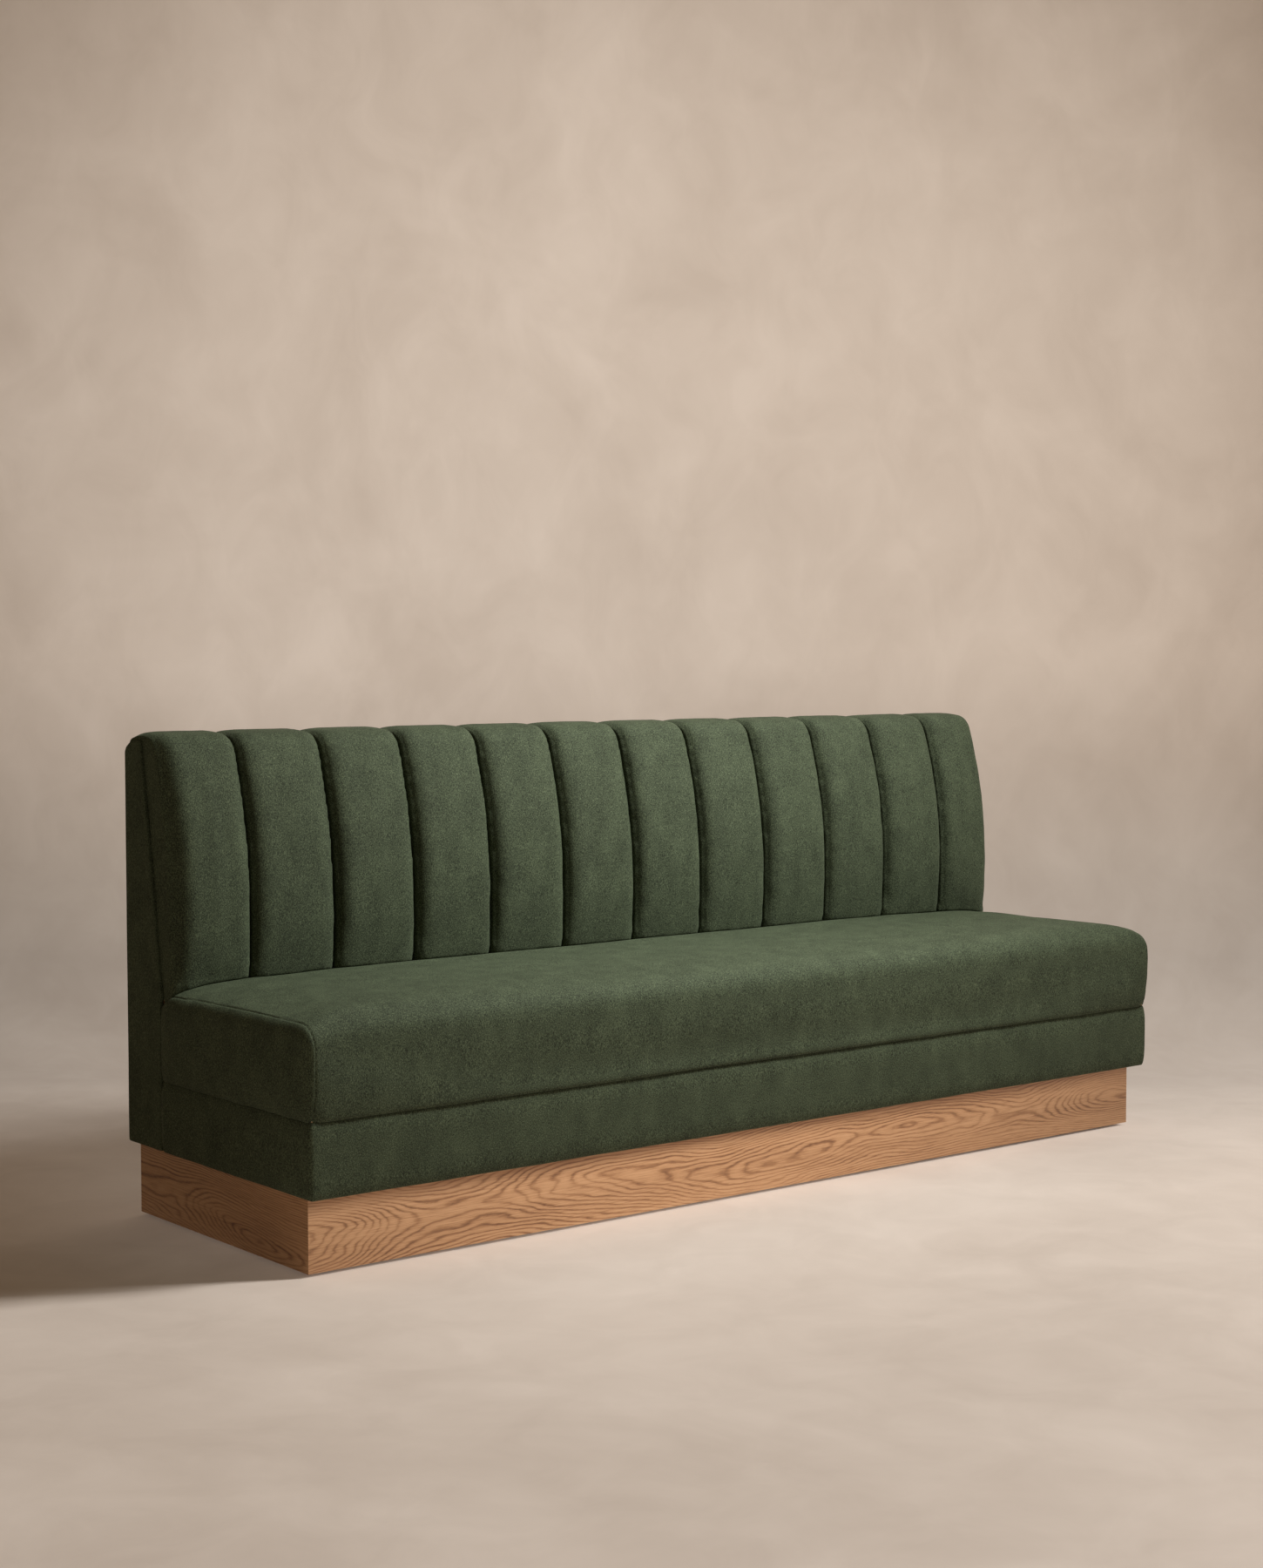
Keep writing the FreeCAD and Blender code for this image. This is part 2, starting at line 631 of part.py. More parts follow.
half_seat = mm("half_frame")
seat_stations = [(half_seat - share * mm("seat_end_roll"), sink)
                 for share, sink in zip(SEAT_STATION_SHARES, SEAT_SINK_SHARES)]
left_slices = [seat_slice(-across, sink) for across, sink in seat_stations]
right_slices = [seat_slice(across, sink) for across, sink in reversed(seat_stations)]
cushion = Part.makeLoft(left_slices + [seat_slice(0, 0)] + right_slices, True, False)
frame_room = Part.makeBox(mm("2 * half_frame + 2 * cut_overrun"),
                          mm("side_face_y - rail_face_y + cut_overrun"),
                          mm("foam_bottom - seam_height + cut_overrun"),
                          point("-half_frame - cut_overrun", "rail_face_y",
                                "seam_height - cut_overrun"))
keep(board("seat_foam",
           ("foam_side_inset - half_frame", "rail_face_y + foam_front_inset", "foam_bottom"),
           ("2 * half_frame - 2 * foam_side_inset",
            "side_face_y - rail_face_y - foam_front_inset - foam_rear_inset", "foam_height")))
doc.recompute()
shaped("seat_cover", cushion.cut(frame_room).cut(doc.getObject("seat_foam").Shape))
for name, side in (("seat_end_panel_left", -1), ("seat_end_panel_right", 1)):
    slices = [seat_slice(side * (half_seat + share * mm("end_panel_bulge")), 1.0, kept_share)
              for share, kept_share in zip(END_PANEL_STATION_SHARES, END_PANEL_OUTLINE_SHARES)]
    shaped(name, Part.makeLoft(slices, True, False))

# Apron: a padded band round the front and the ends, below the cushion

apron_front = profiled("apron_front", "XY_Plane", (
    ("-half_length", "apron_face_y"),
    ("half_length", "apron_face_y"),
    ("half_length", "rail_face_y"),
    ("-half_length", "rail_face_y"),
), "apron_height", ("0", "0", "plinth_top"))
keep(rounded(apron_front, "pad_edge_round", "Y", -1))
for name, corner, side in (("apron_left", "-half_length", -1), ("apron_right", "half_frame", 1)):
    far = f"{corner} + cover_pad"
    apron_end = profiled(name, "XY_Plane", (
        (corner, "rail_face_y"),
        (far, "rail_face_y"),
        (far, "side_face_y"),
        (corner, "side_face_y"),
    ), "apron_height", ("0", "0", "plinth_top"))
    keep(rounded(apron_end, "pad_edge_round", "X", side))

# Side panels of the back: padded cloth over the end uprights

side_top = [(f"rear_y - {depth_share} * side_top_depth", f"seat_height + {rise_share} * back_rise")
            for depth_share, rise_share in SIDE_TOP_SHARES]
for name, corner, side in (("back_side_panel_left", "-half_length", -1),
                           ("back_side_panel_right", "half_frame", 1)):
    side_panel = profiled(name, "YZ_Plane", [
        ("side_face_y", "plinth_top"),
        ("rear_y", "plinth_top"),
        *side_top,
        (frame_face_y("side_top_height"), "side_top_height"),
        ("side_face_y", "knee_height"),
    ], "cover_pad", (corner, "0", "0"))
    keep(rounded(side_panel, "pad_edge_round", "X", side))

# Back channels: upright padded flutes that run up the back and over its top to the rear edge


def seat_sink(across):
    """How far the seat has sunk at a place along the bench."""
    reach = (half_seat - abs(across)) / mm("seat_end_roll")
    steps = list(zip(SEAT_STATION_SHARES, SEAT_SINK_SHARES))
    for (near, near_sink), (far, far_sink) in zip(steps, steps[1:]):
        if reach <= far:
            return near_sink + (far_sink - near_sink) * (max(reach, 0) - near) / (far - near)
    return 0.0


def back_slice(across, sink, sunk_shares=FRAME_SHARES):
    """An upright slice through the back padding, sunk from a crest towards another outline."""
    lowering = (SEAT_CROWN_SHARES[6][1] - SEAT_SEAM_SHARES[6][1]) * mm("seat_rise")
    bottom = mm("seat_height") - lowering * seat_sink(across)
    rise = mm("back_rise")
    reach = mm("back_pad_reach")
    rear = mm("rear_y")
    corners = []
    for crest, sunk in zip(CREST_SHARES, sunk_shares):
        reach_share = crest[0] + (sunk[0] - crest[0]) * sink
        rise_share = crest[1] + (sunk[1] - crest[1]) * sink
        corners.append(FreeCAD.Vector(across, rear - reach * reach_share,
                                      mm("seat_height") + rise * rise_share))
    corners[0].z = bottom
    top = mm("frame_top")
    rear_edge = FreeCAD.Vector(across, rear, top)
    frame_corner = FreeCAD.Vector(across, mm(frame_face_y("frame_top")), top)
    foot = FreeCAD.Vector(across, mm(frame_face_y(str(bottom))), bottom)
    edges = [Part.Arc(*corners[start:start + 3]).toShape() for start in (0, 2, 4, 6)]
    edges.append(Part.makeLine(corners[8], rear_edge))
    edges.append(Part.makeLine(rear_edge, frame_corner))
    edges.append(Part.makeLine(frame_corner, foot))
    edges.append(Part.makeLine(foot, corners[0]))
    return Part.Wire(edges)


def channel(left, right, left_table, right_table):
    """One channel between its two edges, with a table of slices for each side of its crest."""
    crest = (left + right) / 2
    half_width = (right - left) / 2
    slices = [back_slice(crest - share * half_width, sink, sunk_shares)
              for share, sink, sunk_shares in reversed(left_table)]
    slices.append(back_slice(crest, 0.0))
    slices += [back_slice(crest + share * half_width, sink, sunk_shares)
               for share, sink, sunk_shares in right_table]
    return Part.makeLoft(slices, True, False)


groove_table = [(share, sink, FRAME_SHARES)
                for share, sink in zip(GROOVE_STATION_SHARES, GROOVE_SINK_SHARES)]
end_table = [(share, sink, END_SHARES)
             for share, sink in zip(END_STATION_SHARES, END_SINK_SHARES)]
grooves = [mm("end_channel_width - half_length") + number * mm("channel_width")
           for number in range(CHANNELS - 1)]
channel_edges = [-half_seat] + grooves + [half_seat]
for number in range(CHANNELS):
    left_table = end_table if number == 0 else groove_table
    right_table = end_table if number == CHANNELS - 1 else groove_table
    shaped(f"back_channel_{number + 1:02d}",
           channel(channel_edges[number], channel_edges[number + 1], left_table, right_table))

# Check every object, then write one file for each sub-part

doc.recompute()
for item in doc.Objects:
    if "Invalid" in item.State or "Error" in item.State:
        raise RuntimeError(f"{item.Label} has failed: {item.State}")
for piece in subparts:
    if piece.Shape.isNull() or not piece.Shape.isValid():
        raise RuntimeError(f"{piece.Label} has no valid shape")
    if not piece.Shape.Solids or piece.Shape.Volume <= 0:
        raise RuntimeError(f"{piece.Label} holds no solid")

os.makedirs("parts", exist_ok=True)
whole = FreeCAD.BoundBox()
for piece in subparts:
    piece.Shape.exportStep(f"parts/{piece.Label}.step")
    whole.add(piece.Shape.BoundBox)
    print(f"{piece.Label}: {len(piece.Shape.Solids)} solid(s), {piece.Shape.Volume / 1000:.1f} cm3")
print(f"{len(subparts)} sub-parts, {whole.XLength:.1f} x {whole.YLength:.1f} x {whole.ZLength:.1f} mm")
print(f"low corner {whole.XMin:.1f} {whole.YMin:.1f} {whole.ZMin:.1f}")
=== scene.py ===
import math

import bmesh
import bpy
import numpy as np
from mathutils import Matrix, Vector, noise
from mathutils.bvhtree import BVHTree


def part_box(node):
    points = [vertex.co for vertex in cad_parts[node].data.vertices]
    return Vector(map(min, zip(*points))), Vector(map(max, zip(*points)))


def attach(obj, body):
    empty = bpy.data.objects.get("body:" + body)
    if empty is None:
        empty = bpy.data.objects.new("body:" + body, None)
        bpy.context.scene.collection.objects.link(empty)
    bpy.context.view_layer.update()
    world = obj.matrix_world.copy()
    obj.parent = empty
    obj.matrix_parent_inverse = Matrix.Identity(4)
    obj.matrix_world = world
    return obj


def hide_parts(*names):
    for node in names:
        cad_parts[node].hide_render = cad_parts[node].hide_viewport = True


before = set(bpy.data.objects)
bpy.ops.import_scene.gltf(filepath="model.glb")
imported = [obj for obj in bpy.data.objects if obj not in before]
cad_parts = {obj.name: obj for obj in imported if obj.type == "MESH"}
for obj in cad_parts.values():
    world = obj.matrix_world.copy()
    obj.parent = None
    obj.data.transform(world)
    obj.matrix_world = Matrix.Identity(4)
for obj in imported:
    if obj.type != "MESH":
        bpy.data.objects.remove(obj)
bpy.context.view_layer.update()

# Camera
# It stands at a seated guest's eye level, off the bench's left front corner, and looks along the
# seat towards the far end of the back.

EYE = (-3.1444, -3.7436, 1.0510)
EYE_TURN = math.radians(38.830)
EYE_DIP = math.radians(3.186)

camera_lens = bpy.data.cameras.new("camera")
camera_lens.sensor_width = 36.0
camera_lens.lens = 55.87
camera = bpy.data.objects.new("camera", camera_lens)
camera.location = EYE
camera.rotation_euler = (math.pi / 2 - EYE_DIP, 0.0, -EYE_TURN)
bpy.context.scene.collection.objects.link(camera)
bpy.context.scene.camera = camera
bpy.context.scene.view_settings.view_transform = "Standard"

# Studio
# A painted canvas backdrop, with painted shade darkening it along its cove, sweeps from the floor up
# the wall. A tall strip box far off to the right lights the floor, soft boxes in front light the
# seat, the back and the plinth, and a wide spot above the camera lights the wall.

FLOOR_BEHIND_EYE = 6.0
COVE_START = 5.92
COVE_RADIUS = 0.75
WALL_RISE = 5.0
SWEEP_HALF_WIDTH = 7.0
# Where the painted shade along the cove begins, and the distance over which it deepens and fades.
COVE_SHADE_FROM = 4.7
COVE_SHADE_SPAN = 3.0
level_ahead = Vector((math.sin(EYE_TURN), math.cos(EYE_TURN), 0.0))
level_right = Vector((math.cos(EYE_TURN), -math.sin(EYE_TURN), 0.0))
eye_foot = Vector((EYE[0], EYE[1], 0.0))


def joined_node(tree, kind, inputs=(), **settings):
    """One shader node, with its settings and with each input linked or set."""
    node = tree.nodes.new(kind)
    for key, value in settings.items():
        setattr(node, key, value)
    for key, value in dict(inputs).items():
        if isinstance(value, bpy.types.NodeSocket):
            tree.links.new(value, node.inputs[key])
        else:
            node.inputs[key].default_value = value
    return node


def sum_up(tree, operation, first, second=0.0):
    """A Math node's result."""
    return joined_node(tree, "ShaderNodeMath", {0: first, 1: second}, operation=operation).outputs[0]


def weighted(tree, *parts):
    """The sum of patterns, each times its weight."""
    total = None
    for pattern, weight in parts:
        share = sum_up(tree, "MULTIPLY", pattern, weight)
        total = share if total is None else sum_up(tree, "ADD", total, share)
    return total


def tones(tree, share, stops):
    """A colour ramp over share, from stops of place and colour."""
    ramp = joined_node(tree, "ShaderNodeValToRGB", {"Fac": share})
    elements = ramp.color_ramp.elements
    while len(elements) < len(stops):
        elements.new(0.5)
    for element, (place, colour) in zip(elements, stops):
        element.position = place
        element.color = (*colour, 1.0)
    return ramp.outputs["Color"]


def cloudy(tree, coordinates, scale, detail=3.0, roughness=0.5, distortion=0.0):
    """Soft noise over the coordinates, from 0 to 1."""
    return joined_node(tree, "ShaderNodeTexNoise",
                       {"Vector": coordinates, "Scale": scale, "Detail": detail,
                        "Roughness": roughness, "Distortion": distortion}).outputs["Fac"]


def stretched(tree, scale, offset=(0.0, 0.0, 0.0)):
    """Object coordinates, stretched and shifted."""
    place = joined_node(tree, "ShaderNodeTexCoord").outputs["Object"]
    return joined_node(tree, "ShaderNodeMapping",
                       {"Vector": place, "Scale": scale, "Location": offset}).outputs["Vector"]


def new_finish(name, **constants):
    """A material with its shader's constants set on the shader itself."""
    finish = bpy.data.materials.new(name)
    finish.use_nodes = True
    shader = finish.node_tree.nodes["Principled BSDF"]
    for key, value in constants.items():
        shader.inputs[key.replace("_", " ")].default_value = value
    return finish, finish.node_tree, shader


def add_relief(tree, shader, height, strength, depth):
    """Fine surface relief from a height pattern."""
    relief = joined_node(tree, "ShaderNodeBump",
                         {"Height": height, "Strength": strength, "Distance": depth})
    tree.links.new(relief.outputs["Normal"], shader.inputs["Normal"])


def canvas_backdrop():
    """Brushed canvas paint with painted shade along the cove, and clear when seen from behind."""
    finish, tree, shader = new_finish("canvas_backdrop", Roughness=0.95)
    broad = cloudy(tree, stretched(tree, (1.0, 1.0, 1.0)), 1.5, 4.0, 0.55, 1.2)
    brushed = cloudy(tree, stretched(tree, (1.0, 1.0, 0.7), (3.0, 1.0, 0.0)), 6.5, 5.0, 0.6, 0.8)
    paint = tones(tree, weighted(tree, (broad, 0.6), (brushed, 0.4)), [
        (0.36, (0.565, 0.468, 0.385)), (0.52, (0.615, 0.515, 0.428)), (0.68, (0.665, 0.562, 0.472))])
    climb = joined_node(tree, "ShaderNodeVectorMath",
                        {0: joined_node(tree, "ShaderNodeTexCoord").outputs["Object"],
                         1: level_ahead + Vector((0.0, 0.0, 1.0))}, operation="DOT_PRODUCT")
    climb = sum_up(tree, "SUBTRACT", climb.outputs["Value"],
                   eye_foot.dot(level_ahead) + COVE_SHADE_FROM)
    # Painted shade: a band of darker paint along the cove, where the floor turns up into the wall.
    cove_shade = tones(tree, sum_up(tree, "DIVIDE", climb, COVE_SHADE_SPAN), [
        (0.0, (1.0,) * 3), (0.10, (0.93,) * 3), (0.18, (0.82,) * 3), (0.28, (0.70,) * 3),
        (0.40, (0.58,) * 3), (0.66, (0.54,) * 3), (0.77, (0.64,) * 3), (0.92, (0.89,) * 3),
        (1.0, (1.0,) * 3)])
    painted = joined_node(tree, "ShaderNodeMix", {0: 1.0, 6: paint, 7: cove_shade},
                          data_type="RGBA", blend_type="MULTIPLY").outputs[2]
    tree.links.new(painted, shader.inputs["Base Color"])
    back = joined_node(tree, "ShaderNodeNewGeometry").outputs["Backfacing"]
    clear = joined_node(tree, "ShaderNodeBsdfTransparent").outputs["BSDF"]
    both = joined_node(tree, "ShaderNodeMixShader",
                       {0: back, 1: shader.outputs["BSDF"], 2: clear}).outputs["Shader"]
    tree.links.new(both, tree.nodes["Material Output"].inputs["Surface"])
    return finish


def backdrop_sweep():
    """The floor, the cove and the wall, drawn out from the floor's near edge."""
    shape = bmesh.new()
    near_left = eye_foot - FLOOR_BEHIND_EYE * level_ahead - SWEEP_HALF_WIDTH * level_right
    near_right = eye_foot - FLOOR_BEHIND_EYE * level_ahead + SWEEP_HALF_WIDTH * level_right
    edge = shape.edges.new((shape.verts.new(near_left), shape.verts.new(near_right)))
    made = bmesh.ops.extrude_edge_only(shape, edges=[edge])["geom"]
    corners = [v for v in made if isinstance(v, bmesh.types.BMVert)]
    bmesh.ops.translate(shape, verts=corners, vec=(FLOOR_BEHIND_EYE + COVE_START) * level_ahead)
    rim = [e for e in made if isinstance(e, bmesh.types.BMEdge)
           and all(v in corners for v in e.verts)]
    cove = bmesh.ops.spin(shape, geom=corners + rim, axis=level_right, steps=24,
                          cent=eye_foot + COVE_START * level_ahead + Vector((0, 0, COVE_RADIUS)),
                          angle=math.pi / 2, use_duplicate=False)["geom_last"]
    rim = [e for e in cove if isinstance(e, bmesh.types.BMEdge)]
    made = bmesh.ops.extrude_edge_only(shape, edges=rim)["geom"]
    bmesh.ops.translate(shape, verts=[v for v in made if isinstance(v, bmesh.types.BMVert)],
                        vec=(0.0, 0.0, WALL_RISE))
    bmesh.ops.recalc_face_normals(shape, faces=shape.faces)
    if shape.faces[0].normal.z < 0:
        bmesh.ops.reverse_faces(shape, faces=shape.faces)
    mesh = bpy.data.meshes.new("backdrop")
    shape.to_mesh(mesh)
    shape.free()
    mesh.shade_smooth()
    sweep = bpy.data.objects.new("backdrop", mesh)
    bpy.context.scene.collection.objects.link(sweep)
    mesh.materials.append(canvas_backdrop())
    return sweep


backdrop = backdrop_sweep()


def studio_light(name, kind, place, aim, power, colour, **settings):
    """A studio light at place that faces aim."""
    lamp = bpy.data.lights.new(name, kind)
    lamp.energy = power
    lamp.color = colour
    for key, value in settings.items():
        setattr(lamp, key, value)
    light = bpy.data.objects.new(name, lamp)
    light.location = place
    light.rotation_euler = (Vector(aim) - Vector(place)).to_track_quat("-Z", "Y").to_euler()
    bpy.context.scene.collection.objects.link(light)
    return light


def choose(name, state, objects):
    """A list of objects that a light is kept to or kept off."""
    chosen = bpy.data.collections.new(name)
    for item in objects:
        chosen.objects.link(item)
    for entry in chosen.collection_objects:
        entry.light_linking.link_state = state
    return chosen


def heading(turn, rise, reach, middle):
    """The place at a reach from middle, a turn from +X towards -Y and a rise above level."""
    turn, rise = math.radians(turn), math.radians(rise)
    return Vector(middle) + reach * Vector((math.cos(rise) * math.cos(turn),
                                            -math.cos(rise) * math.sin(turn), math.sin(rise)))


plinth_boards = [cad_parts[f"plinth_{side}"] for side in ("front", "rear", "left", "right")]
bench_foot = (-0.4, 0.0, 0.1)
plinth_face = (-0.15, -0.28, 0.07)
key_light = studio_light("key_light", "AREA", heading(28.0, 22.0, 14.0, bench_foot), bench_foot,
                         3880.0, (0.975, 1.0, 1.03), shape="RECTANGLE", size=2.4, size_y=7.2)
key_light.light_linking.receiver_collection = choose("lit_by_key", "INCLUDE", [backdrop])
key_light.light_linking.blocker_collection = choose("clear_of_key", "EXCLUDE", [backdrop])
plinth_light = studio_light("plinth_light", "AREA", heading(90.0, 38.0, 1.75, plinth_face),
                            plinth_face, 18.8, (1.0, 0.97, 0.94),
                            shape="RECTANGLE", size=0.9, size_y=0.9, spread=math.radians(136.0))
plinth_light.light_linking.receiver_collection = choose("lit_by_plinth_light", "INCLUDE",
                                                        plinth_boards)
seat_light = studio_light("seat_light", "AREA", heading(56.0, 65.0, 3.0, (-0.1, -0.1, 0.5)),
                          (-0.05, -0.1, 0.5), 37.5, (1.0, 0.99, 0.95),
                          shape="RECTANGLE", size=1.2, size_y=1.0, spread=math.radians(84.0))
seat_light.light_linking.receiver_collection = choose("lit_by_seat_light", "INCLUDE", [])
back_light = studio_light("back_light", "AREA", heading(50.0, 51.0, 3.0, (-0.1, 0.0, 0.6)),
                          (-0.24, 0.0, 0.45), 38.0, (1.0, 0.99, 0.95),
                          shape="RECTANGLE", size=1.2, size_y=1.0, spread=math.radians(82.0))
back_light.light_linking.receiver_collection = choose("lit_by_back_light", "INCLUDE", [])
wall_foot = eye_foot + (COVE_START + COVE_RADIUS) * level_ahead - 0.1 * level_right
wall_light = studio_light("wall_light", "SPOT", wall_foot - 6.5 * level_ahead + Vector((0, 0, 1.5)),
                          wall_foot + Vector((0.0, 0.0, 1.4)), 1240.0, (0.98, 1.0, 1.02),
                          spot_size=math.radians(51.0), spot_blend=1.0, shadow_soft_size=0.2,
                          use_shadow=False)
wall_light.light_linking.receiver_collection = choose("lit_by_wall_light", "INCLUDE", [backdrop])

studio_air = bpy.data.worlds.new("studio_air")
studio_air.use_nodes = True
air = studio_air.node_tree.nodes["Background"]
air.inputs["Color"].default_value = (1.0, 0.75, 0.48, 1.0)
air.inputs["Strength"].default_value = 0.16
bpy.context.scene.world = studio_air

# Plinth
# Four boards of 18 mm panel, mitred at the corners, faced with flat-cut ash veneer whose grain runs
# along each board, and finished with a satin lacquer.

RINGS_PER_METRE = 235.0


def ash_veneer(name, run, start):
    """Long pointed loops of growth rings along the run of the board, over fine pores."""
    finish, tree, shader = new_finish(name, Roughness=0.45, Coat_Weight=0.10, Coat_Roughness=0.35)
    parts = joined_node(tree, "ShaderNodeSeparateXYZ",
                        {0: joined_node(tree, "ShaderNodeTexCoord").outputs["Object"]}).outputs
    along, up = parts[run], parts["Z"]

    def wander(pace, shift):
        place = sum_up(tree, "ADD", sum_up(tree, "MULTIPLY", along, pace), shift)
        return joined_node(tree, "ShaderNodeTexNoise", {"W": place, "Scale": 1.0, "Detail": 1.0},
                           noise_dimensions="1D").outputs["Fac"]

    depth = sum_up(tree, "ADD", sum_up(tree, "MULTIPLY", wander(1.1, start), 0.200), -0.050)
    middle = sum_up(tree, "MULTIPLY", wander(0.9, start + 9.0), 0.14)
    off = sum_up(tree, "SUBTRACT", up, middle)
    ripple = cloudy(tree, stretched(tree, (3.4, 3.4, 15.0), (start, 0.0, 0.0)), 1.0, 2.0, 0.55)
    jag = cloudy(tree, stretched(tree, (30.0, 30.0, 150.0), (0.0, 0.0, start)), 1.0, 3.0, 0.6)
    radius = sum_up(tree, "SQRT", sum_up(tree, "ADD", sum_up(tree, "MULTIPLY", off, off),
                                         sum_up(tree, "MULTIPLY", depth, depth)))
    radius = sum_up(tree, "ADD", radius, sum_up(tree, "MULTIPLY", ripple, 0.030))
    radius = sum_up(tree, "ADD", radius, sum_up(tree, "MULTIPLY", jag, 0.0026))
    ring = sum_up(tree, "FRACT", sum_up(tree, "MULTIPLY", radius, RINGS_PER_METRE))
    late_wood = tones(tree, ring, [(0.0, (0.85,) * 3), (0.16, (0.22,) * 3), (0.45, (0.0,) * 3),
                                   (0.72, (0.14,) * 3), (0.94, (1.0,) * 3)])
    strength = cloudy(tree, stretched(tree, (2.4, 2.4, 34.0), (0.0, 0.0, start)), 1.0, 3.0, 0.7)
    strength = tones(tree, strength, [(0.30, (0.25,) * 3), (0.50, (0.85,) * 3), (0.70, (1.7,) * 3)])
    late_wood = sum_up(tree, "MULTIPLY", late_wood, strength)
    fibres = cloudy(tree, stretched(tree, (5.0, 5.0, 420.0), (0.0, start, 0.0)), 1.0, 4.0, 0.65)
    pores = cloudy(tree, stretched(tree, (26.0, 26.0, 900.0), (start, 0.0, 0.0)), 1.0, 2.0, 0.5)
    pore_marks = tones(tree, pores, [(0.0, (1.0,) * 3), (0.36, (1.0,) * 3), (0.46, (0.0,) * 3)])
    patches = cloudy(tree, stretched(tree, (1.3, 1.3, 14.0), (0.0, start, 2.0)), 1.0, 3.0, 0.5)
    share = weighted(tree, (late_wood, 0.31), (fibres, 0.42), (pore_marks, 0.12), (patches, 0.34))
    wood = tones(tree, share, [(0.22, (0.560, 0.335, 0.180)), (0.40, (0.455, 0.252, 0.124)),
                               (0.60, (0.300, 0.147, 0.064)), (0.90, (0.150, 0.062, 0.025))])
    tree.links.new(wood, shader.inputs["Base Color"])
    add_relief(tree, shader, sum_up(tree, "MULTIPLY", share, -1.0), 0.10, 0.0006)
    return finish


def finish_nodes(finish, *names):
    """Gives fitted parts a finish."""
    for name in names:
        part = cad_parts[name]
        if not part.material_slots:
            part.data.materials.append(finish)
        for held in part.material_slots:
            held.material = finish


finish_nodes(ash_veneer("ash_veneer_front", "X", 2.3), "plinth_front")
finish_nodes(ash_veneer("ash_veneer_rear", "X", 14.1), "plinth_rear")
finish_nodes(ash_veneer("ash_veneer_left", "Y", 5.7), "plinth_left")
finish_nodes(ash_veneer("ash_veneer_right", "Y", 8.9), "plinth_right")

# Feet
# Six black moulded pads on zinc-plated stems. The stems are screwed into brass inserts in softwood
# blocks that are glued into the corners and the middle of the plinth.


def turned_metal(name, colour, roughness, scale):
    """Drawn or turned metal with fine lines round its length."""
    finish, tree, shader = new_finish(name, Metallic=1.0)
    lines = cloudy(tree, stretched(tree, (60.0, 60.0, scale)), 1.0, 4.0, 0.6)
    dark = tuple(part * 0.72 for part in colour)
    tree.links.new(tones(tree, lines, [(0.3, dark), (0.7, colour)]), shader.inputs["Base Color"])
    rough = joined_node(tree, "ShaderNodeMapRange",
                        {"Value": lines, "To Min": roughness - 0.08, "To Max": roughness + 0.10})
    tree.links.new(rough.outputs["Result"], shader.inputs["Roughness"])
    return finish


def moulded_plastic():
    """Black plastic with a fine moulded grain."""
    finish, tree, shader = new_finish("moulded_plastic", Roughness=0.5)
    grain = cloudy(tree, stretched(tree, (1.0, 1.0, 1.0)), 900.0, 3.0, 0.6)
    tree.links.new(tones(tree, grain, [(0.3, (0.016,) * 3), (0.7, (0.030,) * 3)]),
                   shader.inputs["Base Color"])
    add_relief(tree, shader, grain, 0.2, 0.0003)
    return finish


FEET = range(1, 7)
zinc = turned_metal("zinc_plate", (0.62, 0.63, 0.65), 0.34, 900.0)
finish_nodes(moulded_plastic(), *[f"foot_{number}_pad" for number in FEET])
finish_nodes(zinc, *[f"foot_{number}_stem" for number in FEET], "base_screws", "back_bolts_and_nuts")
finish_nodes(turned_metal("plain_brass", (0.74, 0.56, 0.26), 0.30, 700.0), "foot_inserts")

# Hidden frame
# Planed softwood rails, uprights and blocks, glued and screwed, on a birch plywood base, with a
# thin plywood board behind the padding of the back.


def sawn_wood(name, light, dark, scale):
    """Plain wood, its grain drawn out along the longest axis of the scale."""
    finish, tree, shader = new_finish(name, Roughness=0.72)
    bands = cloudy(tree, stretched(tree, scale), 1.0, 4.0, 0.55, 0.8)
    fibres = cloudy(tree, stretched(tree, tuple(part * 9.0 for part in scale)), 1.0, 3.0, 0.6)
    share = weighted(tree, (bands, 0.7), (fibres, 0.3))
    tree.links.new(tones(tree, share, [(0.34, light), (0.66, dark)]), shader.inputs["Base Color"])
    add_relief(tree, shader, share, 0.15, 0.0005)
    return finish


PINE_LIGHT, PINE_DARK = (0.70, 0.53, 0.33), (0.50, 0.32, 0.16)
BIRCH_LIGHT, BIRCH_DARK = (0.66, 0.52, 0.35), (0.52, 0.38, 0.23)
finish_nodes(sawn_wood("pine_along", PINE_LIGHT, PINE_DARK, (3.0, 60.0, 60.0)),
             "seat_rail_front", "seat_rail_rear", "back_top_rail")
finish_nodes(sawn_wood("pine_across", PINE_LIGHT, PINE_DARK, (60.0, 3.0, 60.0)),
             "seat_rail_left", "seat_rail_right", "seat_cross_rail_1", "seat_cross_rail_2",
             "plinth_rib_1", "plinth_rib_2", "plinth_foot_blocks")
finish_nodes(sawn_wood("pine_upright", PINE_LIGHT, PINE_DARK, (60.0, 60.0, 3.0)),
             *[f"back_upright_{number}" for number in range(1, 5)])
finish_nodes(sawn_wood("birch_ply", BIRCH_LIGHT, BIRCH_DARK, (2.0, 14.0, 60.0)),
             "seat_base_board")
finish_nodes(sawn_wood("birch_board", BIRCH_LIGHT, BIRCH_DARK, (2.0, 60.0, 14.0)), "back_board")

# Springs, felt and foam
# Dark zigzag wire springs held on the seat rails by folded clips, a needled felt pad that lies over
# them, and one block of pale foam that fills the cushion.


def loose_fill(name, light, dark, scale, depth):
    """Felt or foam: a fine open surface with no shine."""
    finish, tree, shader = new_finish(name, Roughness=1.0)
    cells = cloudy(tree, stretched(tree, (1.0, 1.0, 1.0)), scale, 5.0, 0.7)
    tree.links.new(tones(tree, cells, [(0.3, dark), (0.7, light)]), shader.inputs["Base Color"])
    add_relief(tree, shader, cells, 0.6, depth)
    return finish


